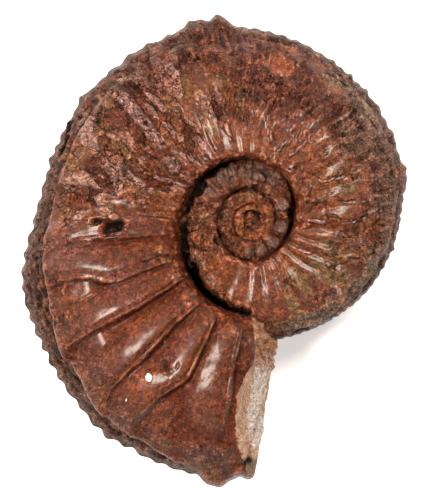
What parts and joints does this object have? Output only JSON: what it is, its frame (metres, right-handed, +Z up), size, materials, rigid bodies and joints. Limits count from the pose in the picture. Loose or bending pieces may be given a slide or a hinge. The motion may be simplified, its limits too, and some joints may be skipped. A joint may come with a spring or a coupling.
{
  "type": "fossil cardioceras ammonite",
  "caption": "Fossil ammonite lying on its flank: coiled whorls with leaning ribs, a notched keel, an open umbilicus and a broken rock-filled aperture.",
  "frame": {"origin": "middle of the bounding box at its base, on the surface that the fossil rests on", "axes": "+Z up, out of the flank that shows; +Y along the longest extent, away from the broken aperture"},
  "size_m": [0.073, 0.0896, 0.0267],
  "materials": {
    "fossil_stone": "polished and satin"
  },
  "bodies": {
    "root": {"ammonite": "fossil_stone"}
  },
  "joints": []
}
